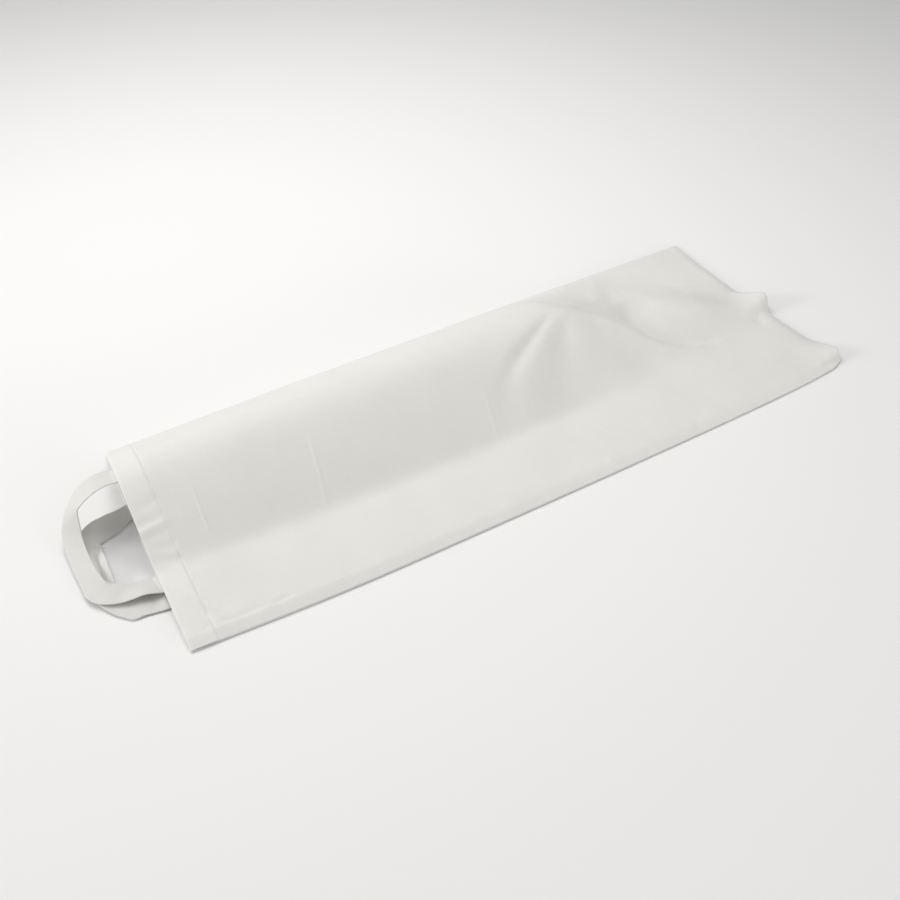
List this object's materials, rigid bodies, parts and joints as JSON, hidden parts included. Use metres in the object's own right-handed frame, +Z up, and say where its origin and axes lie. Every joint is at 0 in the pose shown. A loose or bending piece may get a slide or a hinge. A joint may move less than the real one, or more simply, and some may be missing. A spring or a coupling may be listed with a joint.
{
  "type": "linen bread bag",
  "caption": "Long flat linen bag for long loaves, open at a hemmed mouth with tape handles, lying on its back with a hollow ridge where a loaf has filled it.",
  "frame": {"origin": "the middle of the bag's footprint on the table, halfway from the mouth to the bottom seam and halfway across, at the underside of the lower panel", "axes": "+X from the mouth to the bottom seam, +Y across the bag from the near long seam to the far one, beside which the ridge runs, +Z up"},
  "size_m": [0.7734, 0.2751, 0.0647],
  "materials": {
    "linen": "undyed natural linen in a plain weave, matte"
  },
  "bodies": {
    "root": {"bag_front": "linen", "bag_back": "linen", "handle_front": "linen", "handle_back": "linen"}
  },
  "joints": []
}
